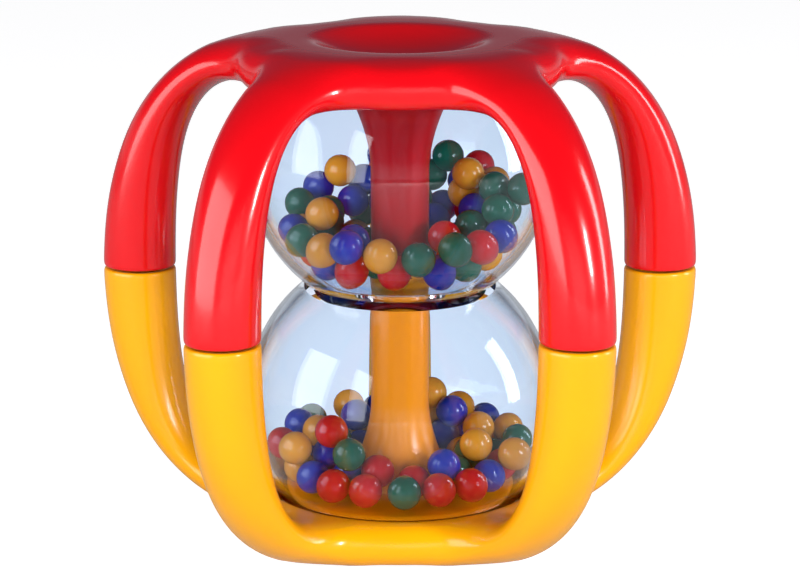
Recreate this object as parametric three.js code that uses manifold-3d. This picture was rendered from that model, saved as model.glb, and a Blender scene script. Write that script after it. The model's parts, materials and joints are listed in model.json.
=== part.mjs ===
// Baby rattle: a barrel of five hollow arms, red above and yellow below, round two clear bowls
// that meet at a waist.  Each bowl holds loose balls round a central trumpet-shaped column.
// Millimetres, +Z up.  The origin is the centre of the flat underside of the base, and the
// two halves of the cage meet at the seam plane, halfway up.
import * as THREE from 'three';
import { mergeVertices } from 'three/addons/utils/BufferGeometryUtils.js';
import Module from 'manifold-3d';

const wasm = await Module();
wasm.setup();

// ---- driving dimensions ---------------------------------------------------------------
const GRIP_DIAMETER = 115; // over the arms at the seam
const OVERALL_HEIGHT = 90.4;
const ARM_COUNT = 5;
const ARM_WIDTH = 13;
const ARM_DEPTH = 13.4; // radial, at the seam
const ARM_RISE = 27.3; // how far the outer outline stays upright above the seam
const ARM_REACH = 21.8; // how far the outer outline runs level out from the cap's flat
const INNER_RISE = 24.9; // the same two for the outline on the bowls' side
const INNER_REACH = 15.4;
const SHELL_WALL = 1.8;
const CAP_DEPTH = 8.35; // from the cap's top to the rim's underside
const RIM_OVERHANG = 2.2; // circle of the rim's round edge, out from the bowl's neck
const RIM_EDGE_RADIUS = 3.8;
const CAP_SHOULDER = 3.1; // from the edge of the cap's flat out to that circle
const ARM_ROOT_OFFSET = 0.5; // from that circle out to the end of the arms' inner outline
const DISH_RADIUS = 16;
const DISH_DEPTH = 3.5;
const TONGUE_LENGTH = 7; // beyond the seam, and as far below it
const TONGUE_CLEARANCE = 0.6; // round a tongue, where the arm starts to curve
const NECK_RADIUS = 23.6; // bowl's outer radius level with the rim's underside
const WAIST_RADIUS = 16.9; // bowl's outer radius at the waist plane
const BOWL_WALL = 1.6;
const BOWL_FLOOR = 1.8; // thickness of the disc that closes each bowl at the waist
const BOWL_MOUTH_RISE = 2.4; // how far the bowl's mouth stands up inside the cap
const WAIST_LIFT = 0.9; // the waist plane stands this far above the seam
const RING_RADIUS = 15; // coupling ring let into the two floors
const RING_WIDTH = 3;
const RING_THICKNESS = 1.4;
const KEY_COUNT = 10; // notches round the ring
const KEY_WIDTH = 2;
const KEY_DEPTH = 0.8;
const COLUMN_RADIUS = 5.25;
const COLUMN_WALL = 1.6;
const FLARE_GROWTH = 4.5; // extra radius at the end disc
const FLARE_LENGTH = 15;
const FLARE_POWER = 1.8; // how late the flare widens
const DISC_LEVEL = 0.4; // inner face of an end disc, inside the rim's underside by this
const DISC_THICKNESS = 1.6;
const SPIGOT_RADIUS = 3;
const SPIGOT_LENGTH = 14;
const BALL_DIAMETER = 6;
const TOP_BALLS = 3; // last balls of each heap, which hop off the layer below
const CLEARANCE = 0.3; // between fitted pieces
const RUNNING_GAP = 0.3; // round a loose ball
const BALL_WANDER = 0.9; // how far a ball's start strays from its even ring

// ---- sizes that follow ----------------------------------------------------------------
const SEAM_Z = OVERALL_HEIGHT / 2;
const RIM_Z = SEAM_Z - CAP_DEPTH; // rim's underside, above the seam
const RIM_CENTRE_Z = RIM_Z + RIM_EDGE_RADIUS;
const RIM_CENTRE_RADIUS = NECK_RADIUS + RIM_OVERHANG;
const CAP_FLAT_RADIUS = RIM_CENTRE_RADIUS - CAP_SHOULDER;
const ARM_ROOT_RADIUS = RIM_CENTRE_RADIUS + ARM_ROOT_OFFSET;
const ARM_OUTER = GRIP_DIAMETER / 2;
const ARM_INNER = ARM_OUTER - ARM_DEPTH;
const ARM_MIDDLE = (ARM_OUTER + ARM_INNER) / 2;
const HOLLOW_SHARE = 1 - SHELL_WALL / (ARM_DEPTH / 2);
const DISC_Z = RIM_Z - DISC_LEVEL;
const BALL_RADIUS = BALL_DIAMETER / 2;
const COLUMN_JOINT_Z = WAIST_LIFT + BOWL_FLOOR; // top of the lower column

const ROUND_SEGMENTS = 30;
const ARM_STEPS = 7;
const ARM_SECTION_POINTS = 4; // steps along each half section

const FINISH = {
  red: { color: 0xee0c1c, roughness: 0.18, metalness: 0 },
  yellow: { color: 0xffb400, roughness: 0.22, metalness: 0 },
  clear: { color: 0xdce9f5, roughness: 0.03, metalness: 0, transparent: true, opacity: 0.3 },
  ballRed: { color: 0xd7282d, roughness: 0.2, metalness: 0 },
  ballBlue: { color: 0x1941aa, roughness: 0.2, metalness: 0 },
  ballGreen: { color: 0x0a6955, roughness: 0.2, metalness: 0 },
  ballAmber: { color: 0xe19b37, roughness: 0.2, metalness: 0 },
};

// ---- helpers --------------------------------------------------------------------------
function toSolid(geometry) {
  const bare = geometry.index ? geometry.toNonIndexed() : geometry.clone();
  bare.deleteAttribute('normal');
  bare.deleteAttribute('uv');
  const welded = mergeVertices(bare, 1e-4);
  return new wasm.Manifold(new wasm.Mesh({
    numProp: 3,
    vertProperties: new Float32Array(welded.attributes.position.array),
    triVerts: new Uint32Array(welded.index.array),
  }));
}

function toGeometry(solid) {
  const mesh = solid.getMesh();
  const geometry = new THREE.BufferGeometry();
  geometry.setAttribute('position', new THREE.BufferAttribute(mesh.vertProperties, 3));
  geometry.setIndex(new THREE.BufferAttribute(mesh.triVerts, 1));
  geometry.computeVertexNormals();
  return geometry;
}

// A closed outline of [radius, height] points turned round the Z axis.
function turned(outline, segments = ROUND_SEGMENTS) {
  const points = outline.map(([radius, height]) => new THREE.Vector2(radius, height));
  const area = THREE.ShapeUtils.area(points);
  const ordered = area > 0 ? points : points.reverse();
  ordered.push(ordered[0].clone());
  const lathe = new THREE.LatheGeometry(ordered, segments);
  return toSolid(lathe.rotateX(Math.PI / 2));
}

function arc(centreRadius, centreHeight, radius, from, to, steps) {
  const points = [];
  for (let i = 0; i <= steps; i += 1) {
    const angle = THREE.MathUtils.degToRad(from + ((to - from) * i) / steps);
    points.push([centreRadius + radius * Math.cos(angle), centreHeight + radius * Math.sin(angle)]);
  }
  return points;
}

function allRound(solid, count = ARM_COUNT) {
  let result = solid;
  for (let i = 1; i < count; i += 1) {
    result = result.add(solid.rotate([0, 0, (360 / count) * i]));
  }
  return result;
}

// ---- cage: cap or base shell, and the liner that closes its arms ------------------------
const outerOutline = new THREE.CubicBezierCurve(
  new THREE.Vector2(ARM_OUTER, 0),
  new THREE.Vector2(ARM_OUTER, ARM_RISE),
  new THREE.Vector2(CAP_FLAT_RADIUS + ARM_REACH, SEAM_Z),
  new THREE.Vector2(CAP_FLAT_RADIUS, SEAM_Z),
);
const innerOutline = new THREE.CubicBezierCurve(
  new THREE.Vector2(ARM_INNER, 0),
  new THREE.Vector2(ARM_INNER, INNER_RISE),
  new THREE.Vector2(ARM_ROOT_RADIUS + INNER_REACH, RIM_Z),
  new THREE.Vector2(ARM_ROOT_RADIUS, RIM_Z),
);

// Points of a circle's stretch on the side of y > 0 that starts at height `from`.
function halfRound(radius, from) {
  const start = THREE.MathUtils.radToDeg(Math.asin(from / radius));
  return arc(0, 0, radius, start, 180 - start, ARM_SECTION_POINTS);
}

// A section in shares of the arm's half width and half depth, carried up between the two
// outlines.  The arm stands on +Y, and the section's y points outwards.
function arm(section) {
  const shape = new THREE.Shape(section.map(([x, y]) => new THREE.Vector2(x, y)));
  const geometry = new THREE.ExtrudeGeometry(shape, { depth: 1, steps: ARM_STEPS, bevelEnabled: false });
  const position = geometry.attributes.position;
  const point = new THREE.Vector3();
  for (let i = 0; i < position.count; i += 1) {
    point.fromBufferAttribute(position, i);
    const outside = outerOutline.getPoint(point.z);
    const inside = innerOutline.getPoint(point.z);
    const place = inside.lerp(outside, (1 + point.y) / 2);
    position.setXYZ(i, (point.x * ARM_WIDTH) / 2, place.x, place.y);
  }
  return toSolid(geometry);
}

const SPLIT_SHARE = CLEARANCE / ARM_DEPTH; // half the gap between shell and liner
const GROWN_SHARE = 1 + (2 * CLEARANCE) / ARM_DEPTH;

function channelSection() {
  return [
    ...halfRound(1, SPLIT_SHARE),
    ...halfRound(HOLLOW_SHARE, SPLIT_SHARE).reverse(),
  ];
}

function mirrored(section) {
  return section.map(([x, y]) => [x, -y]).reverse();
}

function capOutline(dished) {
  const depth = dished ? DISH_DEPTH : 0;
  const skirt = ARM_ROOT_RADIUS + SHELL_WALL;
  const skirtAngle = THREE.MathUtils.radToDeg(Math.acos((skirt - RIM_CENTRE_RADIUS) / RIM_EDGE_RADIUS));
  const dish = [];
  const steps = dished ? 4 : 1;
  for (let i = 0; i <= steps; i += 1) {
    const share = i / steps;
    dish.push([DISH_RADIUS * share, SEAM_Z - depth * (1 - share ** 2)]);
  }
  return [
    ...dish,
    [CAP_FLAT_RADIUS, SEAM_Z],
    ...arc(RIM_CENTRE_RADIUS, RIM_CENTRE_Z, RIM_EDGE_RADIUS, 75, -skirtAngle, 5),
    ...arc(RIM_CENTRE_RADIUS, RIM_CENTRE_Z, skirt - RIM_CENTRE_RADIUS, 0, 90, 2),
    [CAP_FLAT_RADIUS, SEAM_Z - SHELL_WALL],
    [DISH_RADIUS, SEAM_Z - SHELL_WALL],
    [0, SEAM_Z - depth - SHELL_WALL],
  ];
}

// Half-round prism in the end of an arm: it is part of the base and plugs into the other half.
function tongue(share, from, to) {
  const half = new THREE.Shape(
    halfRound(share, SPLIT_SHARE).map(([x, y]) => new THREE.Vector2((x * ARM_WIDTH) / 2, (y * ARM_DEPTH) / 2)),
  );
  const geometry = new THREE.ExtrudeGeometry(half, { depth: to - from, steps: 1, bevelEnabled: false });
  return toSolid(geometry.translate(0, ARM_MIDDLE, from));
}

function shellSolid(isBase) {
  const grownLiner = mirrored(halfRound(GROWN_SHARE, -SPLIT_SHARE));
  let shell = turned(capOutline(!isBase)).subtract(allRound(arm(grownLiner)));
  shell = shell.add(allRound(arm(channelSection()))).trimByPlane([0, 0, 1], CLEARANCE / 2);
  if (!isBase) return shell;
  const fit = HOLLOW_SHARE - (2 * TONGUE_CLEARANCE) / ARM_DEPTH;
  const fused = HOLLOW_SHARE + CLEARANCE / ARM_DEPTH;
  const rooted = tongue(fused, CLEARANCE, TONGUE_LENGTH).add(tongue(fit, -TONGUE_LENGTH, 2 * CLEARANCE));
  return shell.add(allRound(rooted));
}

function linerSolid() {
  const ringOutside = ARM_ROOT_RADIUS + SHELL_WALL - CLEARANCE;
  const ringInside = NECK_RADIUS + CLEARANCE;
  const ring = turned([
    [ringInside, RIM_Z],
    [RIM_CENTRE_RADIUS, RIM_Z],
    [ringOutside, RIM_Z + CLEARANCE],
    [ringOutside, RIM_Z + SHELL_WALL],
    [ringInside, RIM_Z + SHELL_WALL],
  ]);
  return ring.add(allRound(arm(mirrored(channelSection())))).trimByPlane([0, 0, 1], CLEARANCE / 2);
}

// ---- bowls and coupling ring ------------------------------------------------------------
// The sphere of a bowl passes through the waist plane and the neck at their own radii.
function bowlSphere(waistZ) {
  const rise = RIM_Z ** 2 - waistZ ** 2;
  const centre = (NECK_RADIUS ** 2 - WAIST_RADIUS ** 2 + rise) / (2 * (RIM_Z - waistZ));
  return { centre, radius: Math.hypot(WAIST_RADIUS, centre - waistZ) };
}

function sphereArc(sphere, wall, fromZ, toZ, steps) {
  const radius = sphere.radius - wall;
  const from = THREE.MathUtils.radToDeg(Math.asin((fromZ - sphere.centre) / radius));
  const to = THREE.MathUtils.radToDeg(Math.asin((toZ - sphere.centre) / radius));
  return arc(0, sphere.centre, radius, from, to, steps);
}

function bowlSolid(waistZ) {
  const sphere = bowlSphere(waistZ);
  const floorZ = waistZ + CLEARANCE / 2;
  const mouthZ = RIM_Z + BOWL_MOUTH_RISE;
  const bore = COLUMN_RADIUS + CLEARANCE;
  const rebateTop = waistZ + RING_THICKNESS / 2 + CLEARANCE / 2;
  const rebateInside = RING_RADIUS - RING_WIDTH - CLEARANCE;
  return turned([
    [bore, floorZ],
    [rebateInside, floorZ],
    [rebateInside, rebateTop],
    [RING_RADIUS + CLEARANCE, rebateTop],
    [RING_RADIUS + CLEARANCE, floorZ],
    ...sphereArc(sphere, 0, floorZ, mouthZ, 7),
    ...sphereArc(sphere, BOWL_WALL, mouthZ, floorZ + BOWL_FLOOR, 8),
    [bore, floorZ + BOWL_FLOOR],
  ]);
}

function ringSolid() {
  const low = SEAM_Z + WAIST_LIFT - (RING_THICKNESS - CLEARANCE) / 2;
  const high = low + RING_THICKNESS - CLEARANCE;
  const ring = turned([
    [RING_RADIUS - RING_WIDTH, low],
    [RING_RADIUS, low],
    [RING_RADIUS, high],
    [RING_RADIUS - RING_WIDTH, high],
  ]);
  const notch = new THREE.BoxGeometry(KEY_WIDTH, 2 * KEY_DEPTH, 2 * RING_THICKNESS);
  notch.translate(0, RING_RADIUS, (low + high) / 2);
  return ring.subtract(allRound(toSolid(notch), KEY_COUNT));
}

// ---- columns ----------------------------------------------------------------------------
function columnRadius(z) {
  const share = Math.max(0, (z - (DISC_Z - FLARE_LENGTH)) / FLARE_LENGTH);
  return COLUMN_RADIUS + FLARE_GROWTH * share ** FLARE_POWER;
}

function flare(wall, fromZ, toZ, steps) {
  const points = [];
  for (let i = 0; i <= steps; i += 1) {
    const z = fromZ + ((toZ - fromZ) * i) / steps;
    points.push([columnRadius(z) - wall, z]);
  }
  return points;
}

// Outside of a column from the start of its flare to the edge of its end disc.
function flareAndDisc(waistZ) {
  const sphere = bowlSphere(waistZ);
  const edge = (z) => {
    const inside = sphere.radius - BOWL_WALL;
    return Math.sqrt(inside ** 2 - (z - sphere.centre) ** 2) - CLEARANCE;
  };
  const backZ = DISC_Z + DISC_THICKNESS;
  return [
    ...flare(0, DISC_Z - FLARE_LENGTH, DISC_Z, 5),
    [edge(DISC_Z) - CLEARANCE, DISC_Z],
    [edge(backZ) - CLEARANCE, backZ],
    ...flare(COLUMN_WALL, backZ, DISC_Z - FLARE_LENGTH, 3),
  ];
}

function upperColumnSolid() {
  const shoulder = COLUMN_JOINT_Z + CLEARANCE;
  return turned([
    [0, shoulder - SPIGOT_LENGTH],
    [SPIGOT_RADIUS, shoulder - SPIGOT_LENGTH],
    [SPIGOT_RADIUS, shoulder],
    [COLUMN_RADIUS, shoulder],
    ...flareAndDisc(WAIST_LIFT),
    [COLUMN_RADIUS - COLUMN_WALL, shoulder + SPIGOT_LENGTH],
    [0, shoulder + SPIGOT_LENGTH],
  ]);
}

function lowerColumnSolid() {
  return turned([
    [SPIGOT_RADIUS + CLEARANCE, -COLUMN_JOINT_Z],
    [COLUMN_RADIUS, -COLUMN_JOINT_Z],
    ...flareAndDisc(-WAIST_LIFT),
    [SPIGOT_RADIUS + CLEARANCE, SPIGOT_LENGTH],
  ]);
}

// ---- loose balls ------------------------------------------------------------------------
const SINK_STEPS = 260;
const FIRST_SINK = 0.3; // the first steps' length; they shorten to nothing
const PUSH_PASSES = 6;

// A chamber is described in the half's own frame, with `up` saying which way gravity's
// opposite points along that frame's z: +1 in the upper bowl and -1 in the turned lower one.
function chamber(waistZ, up) {
  const sphere = bowlSphere(waistZ);
  const floorZ = up > 0 ? waistZ + CLEARANCE / 2 + BOWL_FLOOR : DISC_Z;
  return {
    centreZ: SEAM_Z + up * sphere.centre,
    reach: sphere.radius - BOWL_WALL - BALL_RADIUS - RUNNING_GAP,
    floorZ: SEAM_Z + up * floorZ + BALL_RADIUS + RUNNING_GAP,
  };
}

// Least distance from the axis at which a ball at height z is clear of the flared column.
function columnLimit(z) {
  const clear = BALL_RADIUS + RUNNING_GAP;
  let limit = 0;
  for (let share = -1; share <= 1; share += 0.1) {
    const wallRadius = columnRadius(Math.abs(z + share * clear - SEAM_Z));
    limit = Math.max(limit, wallRadius + clear * Math.sqrt(1 - Math.min(1, share ** 2)));
  }
  return limit;
}

function keepInside(ball, room) {
  ball.z = Math.max(ball.z, room.floorZ);
  const fromAxis = Math.hypot(ball.x, ball.y);
  const limit = columnLimit(ball.z);
  if (fromAxis < limit) {
    ball.x *= limit / fromAxis;
    ball.y *= limit / fromAxis;
  }
  const centre = new THREE.Vector3(0, 0, room.centreZ);
  const offset = ball.clone().sub(centre);
  if (offset.length() > room.reach) ball.copy(centre).add(offset.setLength(room.reach));
}

function pushClear(ball, lying, room) {
  const spacing = BALL_DIAMETER + RUNNING_GAP;
  for (let pass = 0; pass < PUSH_PASSES; pass += 1) {
    for (const other of lying) {
      const apart = ball.clone().sub(other);
      if (apart.length() < spacing) ball.copy(other).add(apart.setLength(spacing));
    }
    keepInside(ball, room);
  }
}

// Lets a ball sink from its start on to the balls that already lie there.  One that would be
// wedged into its neighbours rises again until it lies free.
function drop(start, lying, room) {
  const ball = start.clone();
  for (let step = 0; step < SINK_STEPS; step += 1) {
    ball.z -= FIRST_SINK * (1 - step / SINK_STEPS);
    pushClear(ball, lying, room);
  }
  const nearest = () => Math.min(...lying.map((other) => other.distanceTo(ball)));
  for (let rise = 0; rise < SINK_STEPS && nearest() < BALL_DIAMETER + RUNNING_GAP / 2; rise += 1) {
    ball.z += FIRST_SINK;
    pushClear(ball, lying, room);
  }
  return ball;
}

// Rings of balls dropped one after another: each ring is [count, radius, first azimuth].
function heap(rings, room, dropHeight) {
  const lying = [];
  for (const [count, radius, firstAzimuth] of rings) {
    for (let i = 0; i < count; i += 1) {
      const azimuth = THREE.MathUtils.degToRad(firstAzimuth + (360 / count) * i);
      const sideways = BALL_WANDER * Math.sin(5 * i + radius);
      const out = radius + BALL_WANDER * Math.cos(3 * i + radius);
      const start = new THREE.Vector3(out, sideways, dropHeight);
      start.applyAxisAngle(new THREE.Vector3(0, 0, 1), azimuth);
      lying.push(drop(start, lying, room));
    }
  }
  return lying;
}

// ---- assembly ---------------------------------------------------------------------------
const rattle = new THREE.Group();

function addPiece(parent, name, geometry, finish) {
  const mesh = new THREE.Mesh(geometry, new THREE.MeshStandardMaterial(FINISH[finish]));
  mesh.name = name;
  parent.add(mesh);
  return mesh;
}

function addHalf(isBase) {
  const half = new THREE.Group();
  half.position.z = SEAM_Z;
  if (isBase) half.rotation.y = Math.PI;
  rattle.add(half);
  return half;
}

const upper = addHalf(false);
addPiece(upper, 'cap_shell', toGeometry(shellSolid(false)), 'red');
addPiece(upper, 'cap_liner', toGeometry(linerSolid()), 'red');
addPiece(upper, 'upper_column', toGeometry(upperColumnSolid()), 'red');
addPiece(upper, 'upper_bowl', toGeometry(bowlSolid(WAIST_LIFT)), 'clear');

const lower = addHalf(true);
addPiece(lower, 'base_shell', toGeometry(shellSolid(true)), 'yellow');
addPiece(lower, 'base_liner', toGeometry(linerSolid()), 'yellow');
addPiece(lower, 'lower_column', toGeometry(lowerColumnSolid()), 'yellow');
addPiece(lower, 'lower_bowl', toGeometry(bowlSolid(-WAIST_LIFT)), 'clear');

addPiece(rattle, 'waist_ring', toGeometry(ringSolid()), 'clear');

const BALL_COLOURS = { R: 'ballRed', B: 'ballBlue', G: 'ballGreen', A: 'ballAmber' };

function addBalls(prefix, places, colours) {
  places.forEach((place, i) => {
    const colour = BALL_COLOURS[colours[i % colours.length]];
    const ball = addPiece(rattle, `${prefix}_${String(i + 1).padStart(2, '0')}`,
      new THREE.IcosahedronGeometry(BALL_RADIUS, 1), colour);
    ball.position.copy(place);
  });
}

const lowerRings = [[18, 20, -90], [7, 13, -80], [TOP_BALLS, 16, -10]];
const upperRings = [[7, 9, -70], [13, 15.4, -95], [TOP_BALLS, 17, 30]];
const lowerRoom = chamber(-WAIST_LIFT, -1);
const upperRoom = chamber(WAIST_LIFT, 1);
addBalls('ball_lower', heap(lowerRings, lowerRoom, SEAM_Z - BALL_DIAMETER), 'GRRBRGABABAGRBABRRRGARBBBGAR');
addBalls('ball_upper', heap(upperRings, upperRoom, SEAM_Z + upperRoom.reach), 'ARBRGBGRBGAGBRBAGRBRGAG');

export default rattle;
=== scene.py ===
"""Baby rattle: barrel cage of five hollow arms, red over yellow, round two clear bowls of balls."""
import json
from math import acos, asin, cos, hypot, pi, radians, sin, sqrt

import bmesh
import bpy
from mathutils import Matrix, Vector

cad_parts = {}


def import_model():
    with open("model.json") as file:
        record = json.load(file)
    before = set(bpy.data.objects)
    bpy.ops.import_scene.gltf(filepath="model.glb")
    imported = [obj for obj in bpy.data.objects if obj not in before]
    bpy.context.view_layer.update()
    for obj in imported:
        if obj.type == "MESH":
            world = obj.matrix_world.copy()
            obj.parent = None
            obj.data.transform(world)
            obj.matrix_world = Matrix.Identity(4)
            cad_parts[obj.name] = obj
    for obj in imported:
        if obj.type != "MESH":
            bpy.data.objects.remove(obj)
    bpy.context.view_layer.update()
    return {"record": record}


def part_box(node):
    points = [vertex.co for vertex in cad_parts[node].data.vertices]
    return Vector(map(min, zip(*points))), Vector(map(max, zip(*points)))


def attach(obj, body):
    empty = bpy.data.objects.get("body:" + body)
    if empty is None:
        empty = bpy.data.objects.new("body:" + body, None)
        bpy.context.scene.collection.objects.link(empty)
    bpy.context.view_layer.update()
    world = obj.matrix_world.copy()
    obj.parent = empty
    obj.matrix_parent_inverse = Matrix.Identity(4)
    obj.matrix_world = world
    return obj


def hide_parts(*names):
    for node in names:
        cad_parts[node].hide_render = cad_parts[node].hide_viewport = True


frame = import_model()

# ---- sizes, millimetres ------------------------------------------------------------------
MM = 0.001


def node_box(name):
    low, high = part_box(name)
    return [v / MM for v in low], [v / MM for v in high]


TOP_Z = node_box("cap_shell")[1][2]
SEAM_Z = TOP_Z / 2
ARM_OUTER = node_box("cap_shell")[1][1]
ARM_COUNT = 5
ARM_WIDTH = 13.0
ARM_DEPTH = 13.4
ARM_RISE = 27.3
ARM_REACH = 21.8
INNER_RISE = 24.9
INNER_REACH = 15.4
ARM_ROOT = 26.3
CAP_DEPTH = 8.35
CAP_FLAT = 22.7
DISH_DEPTH = 3.5
RIM_CENTRE = 25.8
RIM_EDGE = 3.8
RIM_Z = SEAM_Z - CAP_DEPTH
SHELL_WALL = 1.5
SEAM_GAP = 0.15
NECK_RADIUS = 23.6
WAIST_RADIUS = 16.9
WAIST_LIFT = 0.9
BOWL_WALL = 1.6
BOWL_FLOOR = 1.8
BOWL_MOUTH_RISE = 2.4
COLUMN_RADIUS = 5.25
COLUMN_WALL = 1.6
FLARE_GROWTH = 4.5
FLARE_LENGTH = 15.0
FLARE_POWER = 1.8
DISC_LEVEL = 0.4
DISC_Z = RIM_Z - DISC_LEVEL
DISC_THICKNESS = 1.6
SPIGOT_RADIUS = 3.0
SPIGOT_LENGTH = 14.0
CLEARANCE = 0.3
RING_RADIUS = 15.0
RING_WIDTH = 3.0
RING_THICKNESS = 1.1
KEY_COUNT = 10
KEY_WIDTH = 2.0
KEY_DEPTH = 0.8
RUNNING_GAP = 0.3
BALL_RADIUS = (node_box("ball_lower_01")[1][2] - node_box("ball_lower_01")[0][2]) / 2
ROUND_STEPS = 96


# ---- materials ---------------------------------------------------------------------------
def srgb(red, green, blue):
    def channel(value):
        value /= 255
        return value / 12.92 if value <= 0.04045 else ((value + 0.055) / 1.055) ** 2.4
    return channel(red), channel(green), channel(blue), 1.0


def math_step(nodes, link, operation, *values):
    """A Math node's output; each value is a plain number or the socket that feeds it."""
    node = nodes.new("ShaderNodeMath")
    node.operation = operation
    for socket, value in zip(node.inputs, values):
        if isinstance(value, float):
            socket.default_value = value
        else:
            link(value, socket)
    return node.outputs["Value"]


def moulded_group():
    """Faint flow marks and orange peel of moulded plastic."""
    group = bpy.data.node_groups.new("moulded_surface", "ShaderNodeTree")
    face = group.interface
    for name, value in (("Roughness", 0.2), ("Spread", 0.05), ("Flow Scale", 60.0)):
        face.new_socket(name, in_out="INPUT", socket_type="NodeSocketFloat").default_value = value
    face.new_socket("Roughness", in_out="OUTPUT", socket_type="NodeSocketFloat")
    face.new_socket("Height", in_out="OUTPUT", socket_type="NodeSocketFloat")
    face.new_socket("Mask", in_out="OUTPUT", socket_type="NodeSocketFloat")
    nodes, link = group.nodes, group.links.new
    given, out = nodes.new("NodeGroupInput"), nodes.new("NodeGroupOutput")
    coords = nodes.new("ShaderNodeTexCoord")
    flow = nodes.new("ShaderNodeTexNoise")
    flow.inputs["Detail"].default_value = 3.0
    peel = nodes.new("ShaderNodeTexNoise")
    peel.inputs["Scale"].default_value = 420.0
    peel.inputs["Detail"].default_value = 1.0
    link(coords.outputs["Object"], flow.inputs["Vector"])
    link(coords.outputs["Object"], peel.inputs["Vector"])
    link(given.outputs["Flow Scale"], flow.inputs["Scale"])
    uneven = math_step(nodes, link, "MULTIPLY_ADD", flow.outputs["Fac"], given.outputs["Spread"],
                       given.outputs["Roughness"])
    link(uneven, out.inputs["Roughness"])
    link(peel.outputs["Fac"], out.inputs["Height"])
    link(flow.outputs["Fac"], out.inputs["Mask"])
    return group


MOULDED = moulded_group()


def plastic(name, colour, shade, roughness, spread=0.06, bump=0.02, coat=0.0, soft=0.0):
    """Solid moulded plastic: two close tones, uneven gloss, faint orange peel."""
    material = bpy.data.materials.new(name)
    material.use_nodes = True
    nodes, link = material.node_tree.nodes, material.node_tree.links.new
    shader = nodes["Principled BSDF"]
    surface = nodes.new("ShaderNodeGroup")
    surface.node_tree = MOULDED
    surface.inputs["Roughness"].default_value = roughness
    surface.inputs["Spread"].default_value = spread
    tones = nodes.new("ShaderNodeMix")
    tones.data_type = "RGBA"
    tones.inputs[6].default_value = colour
    tones.inputs[7].default_value = shade
    link(surface.outputs["Mask"], tones.inputs[0])
    link(tones.outputs[2], shader.inputs["Base Color"])
    link(surface.outputs["Roughness"], shader.inputs["Roughness"])
    bumped = nodes.new("ShaderNodeBump")
    bumped.inputs["Strength"].default_value = bump
    bumped.inputs["Distance"].default_value = 0.0004
    link(surface.outputs["Height"], bumped.inputs["Height"])
    link(bumped.outputs["Normal"], shader.inputs["Normal"])
    shader.inputs["IOR"].default_value = 1.5
    shader.inputs["Coat Weight"].default_value = coat
    shader.inputs["Coat Roughness"].default_value = 0.06
    if soft:
        shader.inputs["Subsurface Weight"].default_value = soft
        shader.inputs["Subsurface Scale"].default_value = 0.002
        shader.inputs["Subsurface Radius"].default_value = (1.0, 0.35, 0.15)
    return material


WALL_BOUNCES = 3.5    # past this many bounces a ray runs straight through the plastic


def clear_plastic(name):
    """Polished clear plastic that lets the lamps' light in, and frees rays caught in its walls."""
    material = bpy.data.materials.new(name)
    material.use_nodes = True
    nodes, link = material.node_tree.nodes, material.node_tree.links.new
    shader = nodes["Principled BSDF"]
    shader.inputs["Base Color"].default_value = (0.8, 0.89, 1.0, 1.0)
    shader.inputs["Transmission Weight"].default_value = 1.0
    shader.inputs["IOR"].default_value = 1.46
    shader.inputs["Specular IOR Level"].default_value = 0.2
    surface = nodes.new("ShaderNodeGroup")
    surface.node_tree = MOULDED
    surface.inputs["Roughness"].default_value = 0.0
    surface.inputs["Spread"].default_value = 0.03
    link(surface.outputs["Roughness"], shader.inputs["Roughness"])
    path = nodes.new("ShaderNodeLightPath")
    lighting = math_step(nodes, link, "MAXIMUM", path.outputs["Is Shadow Ray"], path.outputs["Is Diffuse Ray"])
    caught = math_step(nodes, link, "GREATER_THAN", path.outputs["Ray Depth"], WALL_BOUNCES)
    unbent = math_step(nodes, link, "MAXIMUM", lighting, caught)
    through = nodes.new("ShaderNodeBsdfTransparent")
    through.inputs["Color"].default_value = (0.93, 0.96, 1.0, 1.0)
    mix = nodes.new("ShaderNodeMixShader")
    link(unbent, mix.inputs["Fac"])
    link(shader.outputs["BSDF"], mix.inputs[1])
    link(through.outputs["BSDF"], mix.inputs[2])
    link(mix.outputs["Shader"], nodes["Material Output"].inputs["Surface"])
    return material


RED = plastic("glossy_red_plastic", srgb(232, 8, 20), srgb(222, 6, 18), 0.16, coat=0.3)
YELLOW = plastic("glossy_yellow_plastic", srgb(255, 180, 0), srgb(255, 170, 0), 0.2, coat=0.2)
# Painted shade: the upper column's red is a darker copy of the cage's red, standing in for its dimmer look
# inside the bowl under the cap.
RED_COLUMN_PAINTED_SHADE = plastic("column_red_plastic", srgb(196, 6, 18), srgb(176, 4, 16), 0.26)
# Painted shade: the lower column's yellow is a deeper orange copy of the cage's yellow, the tone that yellow
# takes in shade inside the bowl.
YELLOW_COLUMN_PAINTED_SHADE = plastic("column_yellow_plastic", srgb(255, 152, 0), srgb(250, 140, 0), 0.26)
CLEAR = clear_plastic("clear_bowl_plastic")
BALL_FINISH = {
    "red": plastic("ball_red_plastic", srgb(214, 24, 36), srgb(190, 14, 28), 0.1, soft=0.2),
    "blue": plastic("ball_blue_plastic", srgb(14, 52, 170), srgb(8, 38, 142), 0.1, soft=0.1),
    "green": plastic("ball_green_plastic", srgb(8, 104, 80), srgb(5, 84, 64), 0.1, soft=0.1),
    "amber": plastic("ball_amber_plastic", srgb(232, 160, 52), srgb(216, 138, 36), 0.1, soft=0.2),
}


# ---- mesh helpers --------------------------------------------------------------------------
def half_place(is_base):
    """From a half's own frame, z up from the seam, in millimetres, to the world in metres."""
    turn = Matrix.Rotation(pi, 4, "Y") if is_base else Matrix.Identity(4)
    return Matrix.Scale(MM, 4) @ Matrix.Translation((0, 0, SEAM_Z)) @ turn


def finish_piece(bm, name, material, place, body="cage", sharp=radians(40)):
    bm.transform(place)
    for f in bm.faces:
        f.smooth = True
    for edge in bm.edges:
        if len(edge.link_faces) == 2 and edge.calc_face_angle(0) > sharp:
            edge.smooth = False
    mesh = bpy.data.meshes.new(name)
    bm.to_mesh(mesh)
    bm.free()
    mesh.materials.append(material)
    piece = bpy.data.objects.new(name, mesh)
    bpy.context.scene.collection.objects.link(piece)
    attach(piece, body)
    return piece


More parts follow.
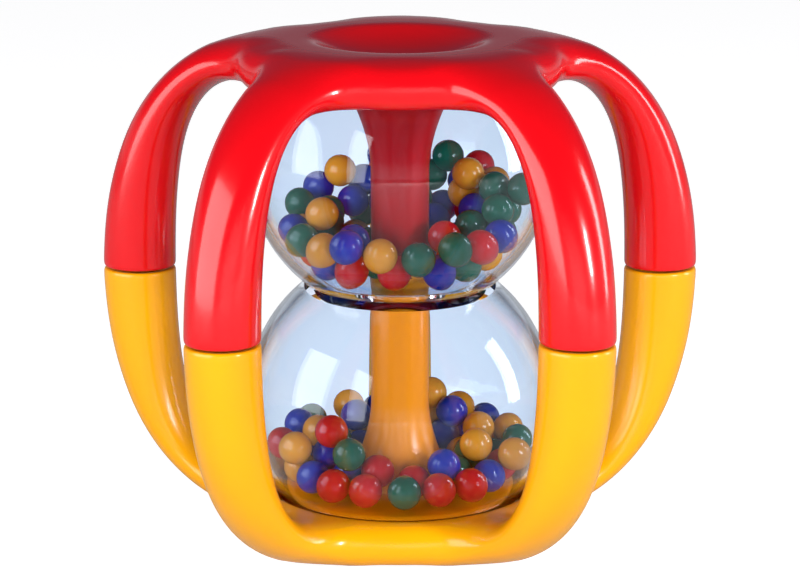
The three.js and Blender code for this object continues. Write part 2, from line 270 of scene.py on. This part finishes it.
def turned(outline, steps=ROUND_STEPS):
    """Spins a closed outline of (radius, height) points round Z."""
    bm = bmesh.new()
    verts = [bm.verts.new((radius, 0, height)) for radius, height in outline]
    for i, vert in enumerate(verts):
        bm.edges.new((vert, verts[(i + 1) % len(verts)]))
    bmesh.ops.spin(bm, geom=bm.verts[:] + bm.edges[:], cent=(0, 0, 0), axis=(0, 0, 1),
                   angle=2 * pi, steps=steps, use_merge=True)
    bmesh.ops.remove_doubles(bm, verts=bm.verts[:], dist=1e-4)
    bmesh.ops.recalc_face_normals(bm, faces=bm.faces[:])
    return bm


def arc(centre_r, centre_z, radius, start, end, steps):
    turn = [radians(start + (end - start) * i / steps) for i in range(steps + 1)]
    return [(centre_r + radius * cos(a), centre_z + radius * sin(a)) for a in turn]


# ---- cage: shell and liner of one half -------------------------------------------------------
def bezier(points, t):
    weights = ((1 - t) ** 3, 3 * t * (1 - t) ** 2, 3 * t * t * (1 - t), t ** 3)
    return tuple(sum(w * p[axis] for w, p in zip(weights, points)) for axis in (0, 1))


OUTER_LINE = [(ARM_OUTER, 0), (ARM_OUTER, ARM_RISE), (CAP_FLAT + ARM_REACH, SEAM_Z), (CAP_FLAT, SEAM_Z)]
ARM_INNER = ARM_OUTER - ARM_DEPTH
INNER_LINE = [(ARM_INNER, 0), (ARM_INNER, INNER_RISE), (ARM_ROOT + INNER_REACH, RIM_Z), (ARM_ROOT, RIM_Z)]

ARM_COLUMNS = 4        # control faces across an arm's root, and as many between two arms
ROOT_HALF_ANGLE = 20.0
SECTION_VERTS = 16
LINER_SLOTS = range(10, 15)  # section verts on the bowls' side, from -135 to -45 degrees
SUBDIVISION_SHRINK = (2 + cos(2 * pi / SECTION_VERTS)) / 3
# Stations along an arm from its root to the seam: share of the outlines, extra half width.
ARM_STATIONS = [(0.87, 2.0), (0.79, 0.8), (0.71, 0.25), (0.6, 0), (0.47, 0), (0.34, 0), (0.2, 0), (0.1, 0),
                (0.03, 0)]
ROOT_FOLD = (28.0, 36.0)    # distances from the axis between which the folds at the roots are relaxed
FOLD_PASSES = 8
# Rounded lip at the seam: height above it and inset of each ring.
LIP_RINGS = [(1.5, 0), (0.75, 0.0), (0.28, 0.12), (SEAM_GAP, 0.55), (SEAM_GAP + 0.1, 1.3)]


def cap_rows(dished):
    """Control rings of the cap from its middle out and under to the bowl's neck."""
    depth = DISH_DEPTH if dished else 0.0
    top = SEAM_Z
    rows = [(2.5, top - depth), (6.5, top - depth * 0.9), (10.5, top - depth * 0.62),
            (13.8, top - depth * 0.26), (15.7, top - depth * 0.02), (17.2, top), (19.8, top), (CAP_FLAT, top)]
    side = arc(RIM_CENTRE, RIM_Z + RIM_EDGE, RIM_EDGE * 1.04, 68, -72, 4)
    neck = NECK_RADIUS + CLEARANCE
    under = [(NECK_RADIUS + 0.9, RIM_Z), (neck, RIM_Z + 0.4), (neck, RIM_Z + 1.8)]
    return rows, side, under


def column_angle(column):
    """Azimuth of a control column: arm roots are centred on the arms, windows lie between."""
    sector, inside = divmod(column, 2 * ARM_COLUMNS)
    step = 2 * ROOT_HALF_ANGLE / ARM_COLUMNS
    window = 360 / ARM_COUNT - 2 * ROOT_HALF_ANGLE
    start = 90 - ROOT_HALF_ANGLE + sector * 360 / ARM_COUNT
    if inside <= ARM_COLUMNS:
        return radians(start + inside * step)
    return radians(start + 2 * ROOT_HALF_ANGLE + (inside - ARM_COLUMNS) * window / ARM_COLUMNS)


def cage_surface(dished):
    """Smooth outer surface of one half; liner faces have material index 1."""
    bm = bmesh.new()
    column = bm.verts.layers.int.new("column")
    row_of = bm.verts.layers.int.new("row")
    slot = bm.verts.layers.int.new("section")
    rows, side, under = cap_rows(dished)
    first_side = len(rows)
    levels = rows + side + under
    columns = 2 * ARM_COLUMNS * ARM_COUNT

    def place_ring(verts, row):
        radius, height = levels[row]
        for vert in verts:
            vert[row_of] = row
            angle = column_angle(vert[column])
            vert.co = (radius * cos(angle), radius * sin(angle), height)

    made = bmesh.ops.create_circle(bm, cap_ends=True, segments=columns, radius=1)["verts"]
    for index, vert in enumerate(made):
        vert[column] = index
    place_ring(made, 0)
    edges = [e for e in bm.edges]
    for row in range(1, len(levels)):
        grown = bmesh.ops.extrude_edge_only(bm, edges=edges)["geom"]
        place_ring([g for g in grown if isinstance(g, bmesh.types.BMVert)], row)
        new_verts = {g for g in grown if isinstance(g, bmesh.types.BMVert)}
        edges = [g for g in grown if isinstance(g, bmesh.types.BMEdge) and set(g.verts) <= new_verts]
    last_side = first_side + len(side) - 1
    for f in bm.faces:
        if min(v[row_of] for v in f.verts) >= last_side:
            f.material_index = 1

    def in_root(vert):
        return vert[column] % (2 * ARM_COLUMNS) <= ARM_COLUMNS and first_side <= vert[row_of] <= last_side

    doomed = []
    for f in bm.faces:
        if all(in_root(v) for v in f.verts):
            doomed.append(f)
    bmesh.ops.delete(bm, geom=doomed, context="FACES")
    for vert in bm.verts:
        if in_root(vert) and first_side == vert[row_of]:
            vert.co.z = SEAM_Z - 0.15
    rim = [e for e in bm.edges if e.is_boundary and all(in_root(v) for v in e.verts)]
    for vert in {v for e in rim for v in e.verts}:
        across = vert[column] % (2 * ARM_COLUMNS)
        down = vert[row_of] - first_side
        if down == 0:
            vert[slot] = 2 + across          # 45 to 135 degrees, over the outside
        elif down == len(side) - 1:
            vert[slot] = 14 - across         # -45 to -135 degrees, under the inside
        else:
            vert[slot] = (2 - down) % 16 if across == 0 else 6 + down

    half_width = ARM_WIDTH / 2 / SUBDIVISION_SHRINK
    half_depth = 1 / SUBDIVISION_SHRINK
    stations = [(share, extra, 0.0, None) for share, extra in ARM_STATIONS]
    stations += [(0.0, 0.0, inset, height) for height, inset in LIP_RINGS]
    for share, extra, inset, height in stations:
        if height is None:
            outside, inside = bezier(OUTER_LINE, share), bezier(INNER_LINE, share)
        else:
            outside, inside = (ARM_OUTER, height), (ARM_INNER, height)
        grown = bmesh.ops.extrude_edge_only(bm, edges=rim)["geom"]
        new_verts = {g for g in grown if isinstance(g, bmesh.types.BMVert)}
        rim = [g for g in grown if isinstance(g, bmesh.types.BMEdge) and set(g.verts) <= new_verts]
        for f in (g for g in grown if isinstance(g, bmesh.types.BMFace)):
            f.material_index = 1 if all(v[slot] in LINER_SLOTS for v in f.verts) else 0
        for vert in new_verts:
            turn = 2 * pi * vert[slot] / SECTION_VERTS
            shrink = 1 - inset / (ARM_WIDTH / 2)
            out = half_depth * sin(turn) * shrink
            sideways = (half_width + extra) * cos(turn) * shrink
            radius = (outside[0] + inside[0]) / 2 + out * (outside[0] - inside[0]) / 2
            level = (outside[1] + inside[1]) / 2 + out * (outside[1] - inside[1]) / 2
            azimuth = 2 * pi / ARM_COUNT * (vert[column] // (2 * ARM_COLUMNS))
            vert.co = Matrix.Rotation(azimuth, 3, "Z") @ Vector((sideways, radius, level))
    bmesh.ops.recalc_face_normals(bm, faces=bm.faces[:])
    top_face = max(bm.faces, key=lambda f: len(f.verts))
    if top_face.normal.z < 0:
        bmesh.ops.reverse_faces(bm, faces=bm.faces[:])
    return bm


def subdivided(bm, levels):
    """The bmesh after subdivision, as a new bmesh."""
    mesh = bpy.data.meshes.new("control_cage")
    bm.to_mesh(mesh)
    bm.free()
    holder = bpy.data.objects.new("control_cage", mesh)
    bpy.context.scene.collection.objects.link(holder)
    smooth = holder.modifiers.new("Smooth", "SUBSURF")
    smooth.levels = smooth.render_levels = levels
    bpy.context.view_layer.update()
    result = bmesh.new()
    result.from_mesh(holder.evaluated_get(bpy.context.evaluated_depsgraph_get()).to_mesh())
    bpy.data.objects.remove(holder)
    bpy.data.meshes.remove(mesh)
    return result


def cage_piece(surface, index, name, material, place, *nodes):
    bm = surface.copy()
    other = [f for f in bm.faces if f.material_index != index]
    bmesh.ops.delete(bm, geom=other, context="FACES")
    for f in bm.faces:
        f.material_index = 0
    piece = finish_piece(bm, name, material, place)
    wall = piece.modifiers.new("Wall", "SOLIDIFY")
    wall.thickness = SHELL_WALL * MM
    wall.offset = -1
    edges = piece.modifiers.new("Edges", "EDGE_SPLIT")
    edges.split_angle = radians(40)
    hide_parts(*nodes)
    return piece


def cage_half(is_base):
    surface = subdivided(cage_surface(not is_base), 2)
    folds = [v for v in surface.verts if ROOT_FOLD[0] < hypot(v.co.x, v.co.y) < ROOT_FOLD[1]]
    for _ in range(FOLD_PASSES):
        bmesh.ops.smooth_vert(surface, verts=folds, factor=0.5,
                              use_axis_x=True, use_axis_y=True, use_axis_z=True)
    place = half_place(is_base)
    material = YELLOW if is_base else RED
    kind = "base" if is_base else "cap"
    cage_piece(surface, 0, f"{kind}_shell_moulding", material, place, f"{kind}_shell")
    cage_piece(surface, 1, f"{kind}_liner_moulding", material, place, f"{kind}_liner")
    surface.free()


cage_half(False)
cage_half(True)


# ---- bowls, ring and columns ---------------------------------------------------------------
def bowl_sphere(waist_z):
    rise = RIM_Z ** 2 - waist_z ** 2
    centre = (NECK_RADIUS ** 2 - WAIST_RADIUS ** 2 + rise) / (2 * (RIM_Z - waist_z))
    return centre, hypot(WAIST_RADIUS, centre - waist_z)


def sphere_arc(centre, radius, low, high, steps):
    start = asin((low - centre) / radius) * 180 / pi
    end = asin((high - centre) / radius) * 180 / pi
    return arc(0, centre, radius, start, end, steps)


def bowl(name, is_base):
    waist_z = -WAIST_LIFT if is_base else WAIST_LIFT
    centre, radius = bowl_sphere(waist_z)
    floor_z = waist_z + CLEARANCE / 2
    mouth_z = RIM_Z + BOWL_MOUTH_RISE
    bore = COLUMN_RADIUS + CLEARANCE
    rebate = floor_z + 0.7
    outline = [(bore, floor_z), (RING_RADIUS - RING_WIDTH - CLEARANCE, floor_z),
               (RING_RADIUS - RING_WIDTH - CLEARANCE, rebate), (RING_RADIUS + CLEARANCE, rebate),
               (RING_RADIUS + CLEARANCE, floor_z)]
    outline += sphere_arc(centre, radius, floor_z, mouth_z, 30)
    outline += sphere_arc(centre, radius - BOWL_WALL, mouth_z, floor_z + BOWL_FLOOR, 30)
    outline += [(bore, floor_z + BOWL_FLOOR)]
    piece = finish_piece(turned(outline), f"{name}_moulding", CLEAR, half_place(is_base))
    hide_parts(name)


def coupling_ring():
    """Clear ring let into both floors, with notches for the mould's keys."""
    low = SEAM_Z + WAIST_LIFT - RING_THICKNESS / 2
    outline = [(RING_RADIUS - RING_WIDTH, low), (RING_RADIUS, low),
               (RING_RADIUS, low + RING_THICKNESS), (RING_RADIUS - RING_WIDTH, low + RING_THICKNESS)]
    bm = turned(outline, KEY_COUNT * 12)
    for vert in bm.verts:
        reach = hypot(vert.co.x, vert.co.y)
        turn = (acos(max(-1, min(1, vert.co.y / reach))) * KEY_COUNT / (2 * pi)) % 1
        away = min(turn, 1 - turn) * 2 * pi / KEY_COUNT * RING_RADIUS
        if reach > RING_RADIUS - 0.1 and away < KEY_WIDTH / 2:
            vert.co.x *= 1 - KEY_DEPTH / reach
            vert.co.y *= 1 - KEY_DEPTH / reach
    piece = finish_piece(bm, "waist_ring_moulding", CLEAR, Matrix.Scale(MM, 4))
    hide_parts("waist_ring")


def column_radius(z):
    share = max(0.0, (z - (DISC_Z - FLARE_LENGTH)) / FLARE_LENGTH)
    return COLUMN_RADIUS + FLARE_GROWTH * share ** FLARE_POWER


def column(name, is_base):
    """Trumpet column with its end disc; the upper one ends in a spigot, the lower in a socket."""
    waist_z = -WAIST_LIFT if is_base else WAIST_LIFT
    centre, radius = bowl_sphere(waist_z)
    back_z = DISC_Z + DISC_THICKNESS
    joint = WAIST_LIFT + BOWL_FLOOR
    start = -joint if is_base else joint + CLEARANCE

    def edge(z):
        return sqrt((radius - BOWL_WALL) ** 2 - (z - centre) ** 2) - 2 * CLEARANCE

    flare_z = [DISC_Z - FLARE_LENGTH + FLARE_LENGTH * i / 16 for i in range(17)]
    outline = [(COLUMN_RADIUS, start + 0.3), (COLUMN_RADIUS, DISC_Z / 3)]
    outline += [(column_radius(z), z) for z in flare_z]
    outline += [(column_radius(DISC_Z) + 1.2, DISC_Z + 0.25), (column_radius(DISC_Z) + 3, DISC_Z + 0.3)]
    outline += [(edge(DISC_Z) - 1.2, DISC_Z + 0.3), (edge(DISC_Z) - 0.5, DISC_Z + 0.38),
                (edge(DISC_Z) - 0.1, DISC_Z + 0.7), (edge(back_z) - 0.1, back_z)]
    outline += [(column_radius(z) - COLUMN_WALL, z) for z in (back_z, *flare_z[::-2])]
    if is_base:
        outline += [(SPIGOT_RADIUS + CLEARANCE, SPIGOT_LENGTH), (SPIGOT_RADIUS + CLEARANCE, start),
                    (COLUMN_RADIUS - 0.3, start)]
    else:
        foot = start - SPIGOT_LENGTH
        plug_top = start + SPIGOT_LENGTH
        outline += [(COLUMN_RADIUS - COLUMN_WALL, plug_top), (0, plug_top), (0, foot),
                    (SPIGOT_RADIUS, foot), (SPIGOT_RADIUS, start), (COLUMN_RADIUS - 0.3, start)]
    # Both columns take darker copies of the cage's colours, with painted shade.
    material = YELLOW_COLUMN_PAINTED_SHADE if is_base else RED_COLUMN_PAINTED_SHADE
    piece = finish_piece(turned(outline), f"{name}_moulding", material, half_place(is_base))
    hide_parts(name)


bowl("upper_bowl", False)
bowl("lower_bowl", True)
coupling_ring()
column("upper_column", False)
column("lower_column", True)


# ---- balls -----------------------------------------------------------------------------------
COLOUR_NAMES = {"R": "red", "B": "blue", "G": "green", "A": "amber"}


def ball(name, centre, colour, body, replaces=None):
    """A glossy ball, its facets turned their own way."""
    bm = bmesh.new()
    bmesh.ops.create_icosphere(bm, subdivisions=3, radius=BALL_RADIUS)
    spin = 2.4 * (centre[0] + 3 * centre[1])
    place = Matrix.Translation(centre) @ Matrix.Rotation(spin, 4, "X") @ Matrix.Rotation(2 * spin, 4, "Y")
    piece = finish_piece(bm, name, BALL_FINISH[colour], Matrix.Scale(MM, 4) @ place, body)
    if replaces:
        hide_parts(replaces)


def node_centre(name):
    low, high = node_box(name)
    return Vector((low[i] + high[i]) / 2 for i in range(3))


def slot_colours():
    return {row["node"]: row["material_slot"] for row in frame["record"]["subparts"]}


def column_limit(z):
    clear = BALL_RADIUS + RUNNING_GAP
    steps = [i / 5 for i in range(-5, 6)]
    return max(column_radius(abs(z + s * clear - SEAM_Z)) + clear * sqrt(1 - s * s) for s in steps)


def keep_inside(place, room):
    place.z = max(place.z, room["floor"])
    from_axis = hypot(place.x, place.y)
    limit = column_limit(place.z)
    if from_axis < limit:
        place.x *= limit / from_axis
        place.y *= limit / from_axis
    offset = place - room["centre"]
    if offset.length > room["reach"]:
        place[:] = room["centre"] + offset.normalized() * room["reach"]


SINK_STEPS = 110
FIRST_SINK = 0.55
SPACING = 2 * BALL_RADIUS + 0.1


def drop(start, lying, room, roll):
    """Lets a ball sink until it is carried at three places, and then rolls it on a little."""
    place = start.copy()
    near = [other for other in lying if hypot(other.x - start.x, other.y - start.y) < 4 * BALL_RADIUS]
    rolling = 0
    for step in range(SINK_STEPS):
        place.z -= FIRST_SINK * (1 - step / SINK_STEPS)
        for _ in range(3):
            touched = 0
            for other in near:
                apart = place - other
                if apart.length_squared < SPACING * SPACING:
                    place[:] = other + apart.normalized() * SPACING
                    touched += 1
            free = place.copy()
            keep_inside(place, room)
            touched += (place - free).length > 0.01
        rolling += touched >= 2
        if rolling > roll:
            break
    return place


def room_of(is_base):
    waist_z = -WAIST_LIFT if is_base else WAIST_LIFT
    centre, radius = bowl_sphere(waist_z)
    up = -1 if is_base else 1
    floor = DISC_Z if is_base else waist_z + CLEARANCE / 2 + BOWL_FLOOR
    return {"centre": Vector((0, 0, SEAM_Z + up * centre)),
            "reach": radius - BOWL_WALL - BALL_RADIUS - RUNNING_GAP,
            "top": SEAM_Z + up * centre + (2 if is_base else 12),
            "floor": SEAM_Z + up * floor + BALL_RADIUS + RUNNING_GAP}


def fill(prefix, is_base, extra_rings, extra_colours):
    """The framed balls first, then the rest of the heap dropped on top of them."""
    room = room_of(is_base)
    bodies = frame["record"]["behaviour"]["bodies"]
    slots = slot_colours()
    side = "lower" if is_base else "upper"
    lying = []
    for body in (f"{side}_balls", f"{side}_top_balls"):
        for node in bodies[body]:
            centre = node_centre(node)
            lying.append(centre)
            ball(f"{node}_round", centre, slots[node].replace("ball_", ""), body, node)
    count = 0
    for ring_count, radius, azimuth, sweep, roll in extra_rings:
        for i in range(ring_count):
            turn = radians(azimuth + sweep / ring_count * i + 3 * sin(7 * i))
            out = radius + 1.0 * cos(3 * i + radius)
            start = Vector((out * cos(turn), out * sin(turn), room["top"]))
            place = drop(start, lying, room, roll)
            lying.append(place)
            colour = COLOUR_NAMES[extra_colours[count % len(extra_colours)]]
            count += 1
            ball(f"{prefix}_{count:02d}", place, colour, f"{side}_top_balls")


# Rings and part rings laid on each heap: count, radius, first azimuth, sweep, steps of rolling.
LOWER_LAYERS = [(11, 14, -48, 302, 20), (12, 21, -20, 220, 20), (3, 14, 20, 60, 8), (1, 15.5, -148, 0, 0)]
UPPER_LAYERS = [(16, 20, -90, 360, 12), (12, 15, -40, 280, 12), (9, 18, -20, 200, 6), (6, 19, 0, 120, 3)]
fill("loose_lower", True, LOWER_LAYERS, "BAABAABGABG" + "AGABRABAGBRA" + "BAA" + "R")
fill("loose_upper", False, UPPER_LAYERS, "AGRBGGRBAGBABGAB" + "RGBABGBBGGAB" + "GGABGBBAG" + "GARGBB")


# ---- floor, lamps, world and camera --------------------------------------------------------
FLOOR_GLOW = 0.88
HORIZON_GLOW = 0.12    # of the floor, as gloss sees it; diffuse rays get none


def seen_through(nodes, link):
    """1 for rays from the camera or out of clear plastic, but 0 for a ball's or column's gloss."""
    path = nodes.new("ShaderNodeLightPath")

    def step(operation, *values):
        return math_step(nodes, link, operation, *values)

    # Two to four crossings: into a bowl and back out, or round in the wall of one.
    crossed = step("COMPARE", path.outputs["Transmission Depth"], 3.0, 1.1)
    mirrored = step("GREATER_THAN", path.outputs["Glossy Depth"], 0.5)
    clear_way = step("SUBTRACT", 1.0, step("MULTIPLY", crossed, mirrored))
    entered = step("GREATER_THAN", path.outputs["Transmission Depth"], 0.5)
    in_wall = step("MULTIPLY", path.outputs["Is Glossy Ray"], entered)
    leaving = step("MAXIMUM", path.outputs["Is Transmission Ray"], in_wall)
    through = step("MULTIPLY", leaving, clear_way)
    return step("MAXIMUM", path.outputs["Is Camera Ray"], through)


def floor():
    bm = bmesh.new()
    bmesh.ops.create_grid(bm, x_segments=1, y_segments=1, size=3.0)
    mesh = bpy.data.meshes.new("floor")
    bm.to_mesh(mesh)
    bm.free()
    material = bpy.data.materials.new("white_floor")
    material.use_nodes = True
    nodes, link = material.node_tree.nodes, material.node_tree.links.new
    nodes.remove(nodes["Principled BSDF"])
    matt = nodes.new("ShaderNodeBsdfDiffuse")
    matt.inputs["Color"].default_value = (0.5, 0.5, 0.5, 1)
    glow = nodes.new("ShaderNodeEmission")
    level = math_step(nodes, link, "MULTIPLY", seen_through(nodes, link), FLOOR_GLOW)
    path = nodes.new("ShaderNodeLightPath")
    sheen = math_step(nodes, link, "MULTIPLY_ADD", path.outputs["Is Diffuse Ray"], -HORIZON_GLOW, HORIZON_GLOW)
    link(math_step(nodes, link, "MAXIMUM", level, sheen), glow.inputs["Strength"])
    both = nodes.new("ShaderNodeAddShader")
    link(matt.outputs["BSDF"], both.inputs[0])
    link(glow.outputs["Emission"], both.inputs[1])
    link(both.outputs["Shader"], nodes["Material Output"].inputs["Surface"])
    mesh.materials.append(material)
    plane = bpy.data.objects.new("floor", mesh)
    bpy.context.scene.collection.objects.link(plane)


def lamp(name, place, aim, size, power, reflected=True):
    data = bpy.data.lights.new(name, "AREA")
    data.shape = "RECTANGLE"
    data.size, data.size_y = size
    data.energy = power
    lamp_object = bpy.data.objects.new(name, data)
    lamp_object.location = place
    lamp_object.visible_glossy = lamp_object.visible_transmission = reflected
    lamp_object.rotation_euler = (Vector(aim) - Vector(place)).to_track_quat("-Z", "Y").to_euler()
    bpy.context.scene.collection.objects.link(lamp_object)


def world():
    """White behind the object; a dim ceiling and a paler horizon in its reflections."""
    studio = bpy.data.worlds.new("studio")
    bpy.context.scene.world = studio
    studio.use_nodes = True
    nodes, link = studio.node_tree.nodes, studio.node_tree.links.new
    coords = nodes.new("ShaderNodeTexCoord")
    split = nodes.new("ShaderNodeSeparateXYZ")
    link(coords.outputs["Generated"], split.inputs["Vector"])
    ramp = nodes.new("ShaderNodeValToRGB")
    stops = ramp.color_ramp.elements
    stops[0].position, stops[0].color = 0.0, (0.42, 0.43, 0.46, 1)
    stops[1].position, stops[1].color = 0.2, (0.05, 0.05, 0.08, 1)
    low = stops.new(0.1)
    low.color = (0.3, 0.31, 0.34, 1)
    ceiling = stops.new(0.95)
    ceiling.color = (0.04, 0.04, 0.05, 1)
    link(split.outputs["Z"], ramp.inputs["Fac"])
    seen = seen_through(nodes, link)
    mix = nodes.new("ShaderNodeMix")
    mix.data_type = "RGBA"
    mix.inputs[7].default_value = (1, 1, 1, 1)
    link(seen, mix.inputs[0])
    link(ramp.outputs["Color"], mix.inputs[6])
    link(mix.outputs[2], nodes["Background"].inputs["Color"])


def camera():
    """Long lens, a little above the waist's level, in front of the middle of a window."""
    elevation, distance, aim_z = radians(13.9), 0.5656, SEAM_Z * MM - 0.0011
    data = bpy.data.cameras.new("camera")
    data.lens = 140.6
    data.sensor_width = 36
    view = bpy.data.objects.new("camera", data)
    aim = Vector((0, 0, aim_z))
    view.location = aim + distance * Vector((0, -cos(elevation), sin(elevation)))
    view.rotation_euler = (aim - view.location).to_track_quat("-Z", "Y").to_euler()
    bpy.context.scene.collection.objects.link(view)
    bpy.context.scene.camera = view


floor()
world()
camera()
lamp("left_softbox", (-0.62, -0.42, 0.2), (0, 0, 0.05), (0.9, 0.65), 7)
lamp("right_spot", (0.51, -0.45, 0.2), (0, 0, 0.05), (0.07, 0.16), 2.2)
lamp("right_strip", (0.7, 0.05, 0.2), (0, 0, 0.05), (0.12, 0.5), 2)
lamp("front_fill", (0.15, -0.95, 0.12), (0, 0, 0.04), (0.6, 0.4), 7, reflected=False)
bpy.context.scene.view_settings.view_transform = "Standard"
